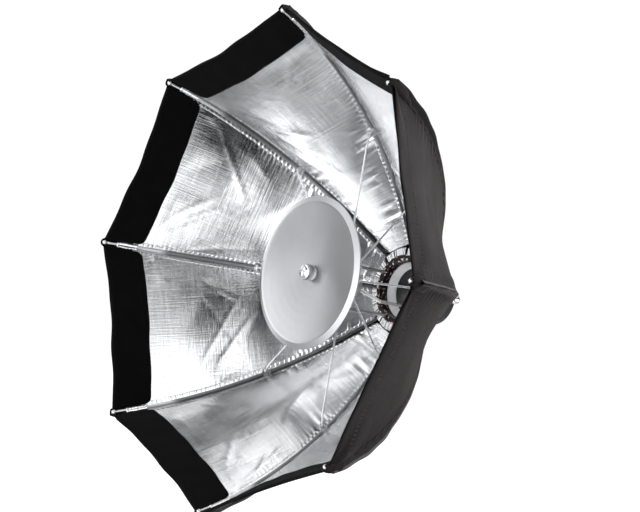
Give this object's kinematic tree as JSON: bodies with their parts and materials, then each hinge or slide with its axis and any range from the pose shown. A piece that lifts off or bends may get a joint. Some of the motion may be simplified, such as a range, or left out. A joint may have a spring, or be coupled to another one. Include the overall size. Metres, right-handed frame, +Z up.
{
  "type": "studio softbox",
  "caption": "Folding octagonal softbox: cloth canopy with silver lining on spring ribs, strut-braced runner with a dished deflector disc, and a round clamp collar for a flash head.",
  "frame": {"origin": "centre of the collar's bore, at the seat where the flash head stops", "axes": "+Y is the optical axis pointing back out of the collar, so the open mouth faces -Y; +Z is up; +X is to the right seen from in front of the mouth"},
  "size_m": [0.4908, 0.2586, 0.4908],
  "materials": {
    "black_metal": "satin black anodised aluminium",
    "face_ring": "matte bead-blasted silver",
    "pin_steel": "bright plated steel",
    "crown_cloth": "charcoal nylon",
    "pad_rubber": "matte black rubber",
    "clamp_chrome": "polished chrome with a knurled edge",
    "runner_metal": "satin grey",
    "post_steel": "dark brushed steel",
    "disc_aluminium": "satin frosted aluminium",
    "knob_aluminium": "satin turned aluminium with a bright screw",
    "rib_steel": "dark spring steel with bright tips",
    "bracket_steel": "plated steel clip",
    "strut_steel": "bright drawn wire",
    "shell_cloth": "charcoal woven nylon",
    "lining_cloth": "silver metallised cloth",
    "band_cloth": "black napped loop tape"
  },
  "bodies": {
    "mount": {"mount_collar": "black_metal", "face_ring": "face_ring", "notch_ring": "black_metal", "rib_pins": "pin_steel", "crown_cap": "crown_cloth"},
    "runner": {"runner_hub": "runner_metal", "hub_pins": "pin_steel", "cage_posts": "post_steel"},
    "deflector": {"deflector_disc": "disc_aluminium"},
    "deflector_knob": {"deflector_knob": "knob_aluminium"},
    "clamp_pad": {"clamp_pad": "pad_rubber"},
    "clamp_screw": {"clamp_screw": "clamp_chrome"},
    "rib_1": {"rib_1": "rib_steel", "bracket_1": "bracket_steel"},
    "rib_2": {"rib_2": "rib_steel", "bracket_2": "bracket_steel"},
    "rib_3": {"rib_3": "rib_steel", "bracket_3": "bracket_steel"},
    "rib_4": {"rib_4": "rib_steel", "bracket_4": "bracket_steel"},
    "rib_5": {"rib_5": "rib_steel", "bracket_5": "bracket_steel"},
    "rib_6": {"rib_6": "rib_steel", "bracket_6": "bracket_steel"},
    "rib_7": {"rib_7": "rib_steel", "bracket_7": "bracket_steel"},
    "rib_8": {"rib_8": "rib_steel", "bracket_8": "bracket_steel"},
    "strut_1": {"strut_1": "strut_steel"},
    "strut_2": {"strut_2": "strut_steel"},
    "strut_3": {"strut_3": "strut_steel"},
    "strut_4": {"strut_4": "strut_steel"},
    "strut_5": {"strut_5": "strut_steel"},
    "strut_6": {"strut_6": "strut_steel"},
    "strut_7": {"strut_7": "strut_steel"},
    "strut_8": {"strut_8": "strut_steel"},
    "gore_1": {"shell_1": "shell_cloth", "lining_1": "lining_cloth", "band_1": "band_cloth"},
    "gore_2": {"shell_2": "shell_cloth", "lining_2": "lining_cloth", "band_2": "band_cloth"},
    "gore_3": {"shell_3": "shell_cloth", "lining_3": "lining_cloth", "band_3": "band_cloth"},
    "gore_4": {"shell_4": "shell_cloth", "lining_4": "lining_cloth", "band_4": "band_cloth"},
    "gore_5": {"shell_5": "shell_cloth", "lining_5": "lining_cloth", "band_5": "band_cloth"},
    "gore_6": {"shell_6": "shell_cloth", "lining_6": "lining_cloth", "band_6": "band_cloth"},
    "gore_7": {"shell_7": "shell_cloth", "lining_7": "lining_cloth", "band_7": "band_cloth"},
    "gore_8": {"shell_8": "shell_cloth", "lining_8": "lining_cloth", "band_8": "band_cloth"}
  },
  "joints": [
    {"name": "fold", "type": "slide", "parent": "mount", "child": "runner", "axis": [0, -1, 0], "range_m": [0, 0.15289]},
    {"name": "deflector_lift", "type": "slide", "parent": "runner", "child": "deflector", "axis": [0, -1, 0], "range_m": [0, 0.02]},
    {"name": "deflector_knob_spin", "type": "hinge", "parent": "deflector", "child": "deflector_knob", "pos_m": [0, -0.134, 0], "axis": [0, 1, 0], "continuous": true},
    {"name": "clamp_travel", "type": "slide", "parent": "mount", "child": "clamp_pad", "axis": [-1, 0, 0], "range_m": [0, 0.0021]},
    {"name": "clamp_screw_turn", "type": "hinge", "parent": "clamp_pad", "child": "clamp_screw", "pos_m": [0.03, 0.024, 0], "axis": [-1, 0, 0], "range_deg": [0, 1080]},
    {"name": "rib_1_pivot", "type": "hinge", "parent": "mount", "child": "rib_1", "pos_m": [0.04, -0.01, 0], "axis": [0, 0, -1], "range_deg": [0, 33]},
    {"name": "strut_1_pivot", "type": "hinge", "parent": "rib_1", "child": "strut_1", "pos_m": [0.14649, -0.08977, 0], "axis": [0, 0, -1], "range_deg": [-91.51, 0]},
    {"name": "gore_1_swing", "type": "hinge", "parent": "rib_1", "child": "gore_1", "pos_m": [0.04, -0.01, 0.01657], "axis": [0.8911, 0.264, 0.3691], "range_deg": [0, 24.96], "deforming": ["shell_1", "lining_1", "band_1"]},
    {"name": "rib_2_pivot", "type": "hinge", "parent": "mount", "child": "rib_2", "pos_m": [0.02828, -0.01, 0.02828], "axis": [0.7071, 0, -0.7071], "range_deg": [0, 33]},
    {"name": "strut_2_pivot", "type": "hinge", "parent": "rib_2", "child": "strut_2", "pos_m": [0.10359, -0.08977, 0.10359], "axis": [0.7071, 0, -0.7071], "range_deg": [-91.51, 0]},
    {"name": "gore_2_swing", "type": "hinge", "parent": "rib_2", "child": "gore_2", "pos_m": [0.01657, -0.01, 0.04], "axis": [0.3691, 0.264, 0.8911], "range_deg": [0, 24.96], "deforming": ["shell_2", "lining_2", "band_2"]},
    {"name": "rib_3_pivot", "type": "hinge", "parent": "mount", "child": "rib_3", "pos_m": [0, -0.01, 0.04], "axis": [1, 0, 0], "range_deg": [0, 33]},
    {"name": "strut_3_pivot", "type": "hinge", "parent": "rib_3", "child": "strut_3", "pos_m": [0, -0.08977, 0.14649], "axis": [1, 0, 0], "range_deg": [-91.51, 0]},
    {"name": "gore_3_swing", "type": "hinge", "parent": "rib_3", "child": "gore_3", "pos_m": [-0.01657, -0.01, 0.04], "axis": [-0.3691, 0.264, 0.8911], "range_deg": [0, 24.96], "deforming": ["shell_3", "lining_3", "band_3"]},
    {"name": "rib_4_pivot", "type": "hinge", "parent": "mount", "child": "rib_4", "pos_m": [-0.02828, -0.01, 0.02828], "axis": [0.7071, 0, 0.7071], "range_deg": [0, 33]},
    {"name": "strut_4_pivot", "type": "hinge", "parent": "rib_4", "child": "strut_4", "pos_m": [-0.10359, -0.08977, 0.10359], "axis": [0.7071, 0, 0.7071], "range_deg": [-91.51, 0]},
    {"name": "gore_4_swing", "type": "hinge", "parent": "rib_4", "child": "gore_4", "pos_m": [-0.04, -0.01, 0.01657], "axis": [-0.8911, 0.264, 0.3691], "range_deg": [0, 24.96], "deforming": ["shell_4", "lining_4", "band_4"]},
    {"name": "rib_5_pivot", "type": "hinge", "parent": "mount", "child": "rib_5", "pos_m": [-0.04, -0.01, 0], "axis": [0, 0, 1], "range_deg": [0, 33]},
    {"name": "strut_5_pivot", "type": "hinge", "parent": "rib_5", "child": "strut_5", "pos_m": [-0.14649, -0.08977, 0], "axis": [0, 0, 1], "range_deg": [-91.51, 0]},
    {"name": "gore_5_swing", "type": "hinge", "parent": "rib_5", "child": "gore_5", "pos_m": [-0.04, -0.01, -0.01657], "axis": [-0.8911, 0.264, -0.3691], "range_deg": [0, 24.96], "deforming": ["shell_5", "lining_5", "band_5"]},
    {"name": "rib_6_pivot", "type": "hinge", "parent": "mount", "child": "rib_6", "pos_m": [-0.02828, -0.01, -0.02828], "axis": [-0.7071, 0, 0.7071], "range_deg": [0, 33]},
    {"name": "strut_6_pivot", "type": "hinge", "parent": "rib_6", "child": "strut_6", "pos_m": [-0.10359, -0.08977, -0.10359], "axis": [-0.7071, 0, 0.7071], "range_deg": [-91.51, 0]},
    {"name": "gore_6_swing", "type": "hinge", "parent": "rib_6", "child": "gore_6", "pos_m": [-0.01657, -0.01, -0.04], "axis": [-0.3691, 0.264, -0.8911], "range_deg": [0, 24.96], "deforming": ["shell_6", "lining_6", "band_6"]},
    {"name": "rib_7_pivot", "type": "hinge", "parent": "mount", "child": "rib_7", "pos_m": [0, -0.01, -0.04], "axis": [-1, 0, 0], "range_deg": [0, 33]},
    {"name": "strut_7_pivot", "type": "hinge", "parent": "rib_7", "child": "strut_7", "pos_m": [0, -0.08977, -0.14649], "axis": [-1, 0, 0], "range_deg": [-91.51, 0]},
    {"name": "gore_7_swing", "type": "hinge", "parent": "rib_7", "child": "gore_7", "pos_m": [0.01657, -0.01, -0.04], "axis": [0.3691, 0.264, -0.8911], "range_deg": [0, 24.96], "deforming": ["shell_7", "lining_7", "band_7"]},
    {"name": "rib_8_pivot", "type": "hinge", "parent": "mount", "child": "rib_8", "pos_m": [0.02828, -0.01, -0.02828], "axis": [-0.7071, 0, -0.7071], "range_deg": [0, 33]},
    {"name": "strut_8_pivot", "type": "hinge", "parent": "rib_8", "child": "strut_8", "pos_m": [0.10359, -0.08977, -0.10359], "axis": [-0.7071, 0, -0.7071], "range_deg": [-91.51, 0]},
    {"name": "gore_8_swing", "type": "hinge", "parent": "rib_8", "child": "gore_8", "pos_m": [0.04, -0.01, -0.01657], "axis": [0.8911, 0.264, -0.3691], "range_deg": [0, 24.96], "deforming": ["shell_8", "lining_8", "band_8"]}
  ],
  "couplings": [
    {"joint": "clamp_screw_turn", "follows": "clamp_travel", "rad_per_m": 8976},
    {"joint": "rib_1_pivot", "follows": "fold", "rad_per_m": 3.7671},
    {"joint": "strut_1_pivot", "follows": "fold", "rad_per_m": -10.447},
    {"joint": "gore_1_swing", "follows": "fold", "rad_per_m": 2.8491},
    {"joint": "rib_2_pivot", "follows": "fold", "rad_per_m": 3.7671},
    {"joint": "strut_2_pivot", "follows": "fold", "rad_per_m": -10.447},
    {"joint": "gore_2_swing", "follows": "fold", "rad_per_m": 2.8491},
    {"joint": "rib_3_pivot", "follows": "fold", "rad_per_m": 3.7671},
    {"joint": "strut_3_pivot", "follows": "fold", "rad_per_m": -10.447},
    {"joint": "gore_3_swing", "follows": "fold", "rad_per_m": 2.8491},
    {"joint": "rib_4_pivot", "follows": "fold", "rad_per_m": 3.7671},
    {"joint": "strut_4_pivot", "follows": "fold", "rad_per_m": -10.447},
    {"joint": "gore_4_swing", "follows": "fold", "rad_per_m": 2.8491},
    {"joint": "rib_5_pivot", "follows": "fold", "rad_per_m": 3.7671},
    {"joint": "strut_5_pivot", "follows": "fold", "rad_per_m": -10.447},
    {"joint": "gore_5_swing", "follows": "fold", "rad_per_m": 2.8491},
    {"joint": "rib_6_pivot", "follows": "fold", "rad_per_m": 3.7671},
    {"joint": "strut_6_pivot", "follows": "fold", "rad_per_m": -10.447},
    {"joint": "gore_6_swing", "follows": "fold", "rad_per_m": 2.8491},
    {"joint": "rib_7_pivot", "follows": "fold", "rad_per_m": 3.7671},
    {"joint": "strut_7_pivot", "follows": "fold", "rad_per_m": -10.447},
    {"joint": "gore_7_swing", "follows": "fold", "rad_per_m": 2.8491},
    {"joint": "rib_8_pivot", "follows": "fold", "rad_per_m": 3.7671},
    {"joint": "strut_8_pivot", "follows": "fold", "rad_per_m": -10.447},
    {"joint": "gore_8_swing", "follows": "fold", "rad_per_m": 2.8491}
  ]
}
